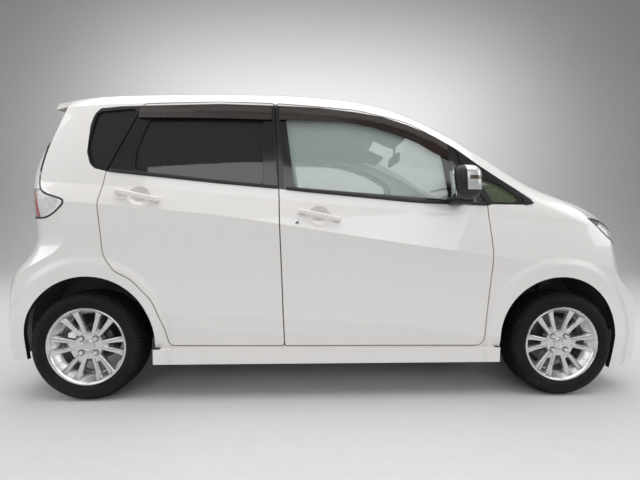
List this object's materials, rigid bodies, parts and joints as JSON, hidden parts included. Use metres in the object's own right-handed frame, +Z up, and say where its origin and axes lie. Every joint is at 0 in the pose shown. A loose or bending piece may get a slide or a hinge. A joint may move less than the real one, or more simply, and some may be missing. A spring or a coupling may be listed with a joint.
{
  "type": "kei car",
  "caption": "Small tall one-box hatchback with opening doors, bonnet, tailgate and fuel lid, steered front wheels, alloy wheels and a furnished cabin.",
  "frame": {"origin": "on the ground under the middle of the car's box", "axes": "+X forward, +Y to the car's left, +Z up"},
  "size_m": [3.3966, 1.81, 1.6201],
  "materials": {
    "body_paint": "pearl white gloss",
    "bumper_paint": "pearl white gloss",
    "black_trim": "satin black",
    "clear_glass": "green tinted",
    "privacy_glass": "dark tinted",
    "lamp_clear": "clear lens",
    "lamp_red": "red lens",
    "tyre": "matte",
    "alloy": "silver paint",
    "brake_steel": "machined",
    "chassis_black": "satin black",
    "underbody": "sealed",
    "engine": "cast",
    "exhaust_steel": "dull",
    "seat_fabric": "woven",
    "dash_plastic": "grained",
    "wheel_rim_black": "grained"
  },
  "bodies": {
    "body": {"bonnet_slam_panel": "body_paint", "cowl_panel": "black_trim", "dashboard": "dash_plastic", "drive_shafts": "brake_steel", "engine_block": "engine", "exhaust": "exhaust_steel", "fender_left": "body_paint", "fender_right": "body_paint", "floor_pan": "underbody", "front_bumper": "bumper_paint", "front_seats": "seat_fabric", "front_suspension": "chassis_black", "fuel_tank": "underbody", "headlamps": "lamp_clear", "interior_mirror": "black_trim", "radiator": "alloy", "rear_axle": "chassis_black", "rear_bench": "seat_fabric", "rear_bumper": "bumper_paint", "rear_panel": "body_paint", "roof_panel": "body_paint", "side_fixed_glass": "privacy_glass", "side_frame_left": "body_paint", "side_frame_right": "body_paint", "side_skirts": "bumper_paint", "strut_springs": "chassis_black", "tail_lamps": "lamp_red", "windscreen": "clear_glass"},
    "bonnet": {"bonnet": "body_paint"},
    "tailgate": {"tailgate": "body_paint", "tailgate_glass": "privacy_glass"},
    "front_door_right": {"front_door_right": "body_paint", "front_door_glass_right": "clear_glass", "door_mirror_right": "bumper_paint"},
    "front_door_left": {"front_door_left": "body_paint", "front_door_glass_left": "clear_glass", "door_mirror_left": "bumper_paint"},
    "rear_door_right": {"rear_door_right": "body_paint", "rear_door_glass_right": "privacy_glass"},
    "rear_door_left": {"rear_door_left": "body_paint", "rear_door_glass_left": "privacy_glass"},
    "fuel_lid": {"fuel_lid": "body_paint"},
    "steering_wheel": {"steering_wheel": "wheel_rim_black"},
    "front_knuckle_right": {"front_knuckle_right": "chassis_black"},
    "front_knuckle_left": {"front_knuckle_left": "chassis_black"},
    "front_wheel_right": {"tyre_front_right": "tyre", "alloy_wheel_front_right": "alloy", "brake_disc_right": "brake_steel"},
    "front_wheel_left": {"tyre_front_left": "tyre", "alloy_wheel_front_left": "alloy", "brake_disc_left": "brake_steel"},
    "rear_wheel_right": {"tyre_rear_right": "tyre", "alloy_wheel_rear_right": "alloy", "brake_drum_right": "brake_steel"},
    "rear_wheel_left": {"tyre_rear_left": "tyre", "alloy_wheel_rear_left": "alloy", "brake_drum_left": "brake_steel"}
  },
  "joints": [
    {"name": "bonnet_hinge", "type": "hinge", "parent": "body", "child": "bonnet", "pos_m": [1.0345, 0, 1.156], "axis": [0, -1, 0], "range_deg": [0, 50]},
    {"name": "tailgate_hinge", "type": "hinge", "parent": "body", "child": "tailgate", "pos_m": [-1.272, 0, 1.602], "axis": [0, 1, 0], "range_deg": [0, 75]},
    {"name": "front_door_right_hinge", "type": "hinge", "parent": "body", "child": "front_door_right", "pos_m": [0.8005, -0.7387, 0.7], "axis": [0, 0, 1], "range_deg": [0, 65]},
    {"name": "front_door_left_hinge", "type": "hinge", "parent": "body", "child": "front_door_left", "pos_m": [0.8005, 0.7387, 0.7], "axis": [0, 0, -1], "range_deg": [0, 65]},
    {"name": "rear_door_right_hinge", "type": "hinge", "parent": "body", "child": "rear_door_right", "pos_m": [-0.2585, -0.7387, 0.7], "axis": [0, 0, 1], "range_deg": [0, 65]},
    {"name": "rear_door_left_hinge", "type": "hinge", "parent": "body", "child": "rear_door_left", "pos_m": [-0.2585, 0.7387, 0.7], "axis": [0, 0, -1], "range_deg": [0, 65]},
    {"name": "fuel_lid_hinge", "type": "hinge", "parent": "body", "child": "fuel_lid", "pos_m": [-1.246, 0.7387, 0.837], "axis": [0, 0, -1], "range_deg": [0, 85]},
    {"name": "steer_right", "type": "hinge", "parent": "body", "child": "front_knuckle_right", "pos_m": [1.1875, -0.54, 0.273], "axis": [0, 0, 1], "range_deg": [-35, 35]},
    {"name": "steer_left", "type": "hinge", "parent": "body", "child": "front_knuckle_left", "pos_m": [1.1875, 0.54, 0.273], "axis": [0, 0, 1], "range_deg": [-35, 35]},
    {"name": "steering_wheel_turn", "type": "hinge", "parent": "body", "child": "steering_wheel", "pos_m": [0.4425, -0.33, 0.9], "axis": [-0.9063, 0, 0.4226], "range_deg": [-545, 545]},
    {"name": "roll_front_right", "type": "hinge", "parent": "front_knuckle_right", "child": "front_wheel_right", "pos_m": [1.1875, -0.65, 0.273], "axis": [0, 1, 0], "continuous": true},
    {"name": "roll_front_left", "type": "hinge", "parent": "front_knuckle_left", "child": "front_wheel_left", "pos_m": [1.1875, 0.65, 0.273], "axis": [0, 1, 0], "continuous": true},
    {"name": "roll_rear_right", "type": "hinge", "parent": "body", "child": "rear_wheel_right", "pos_m": [-1.2425, -0.645, 0.273], "axis": [0, 1, 0], "continuous": true},
    {"name": "roll_rear_left", "type": "hinge", "parent": "body", "child": "rear_wheel_left", "pos_m": [-1.2425, 0.645, 0.273], "axis": [0, 1, 0], "continuous": true}
  ],
  "couplings": [
    {"joint": "steer_left", "follows": "steer_right", "ratio": 1},
    {"joint": "steering_wheel_turn", "follows": "steer_right", "ratio": 15.5}
  ]
}
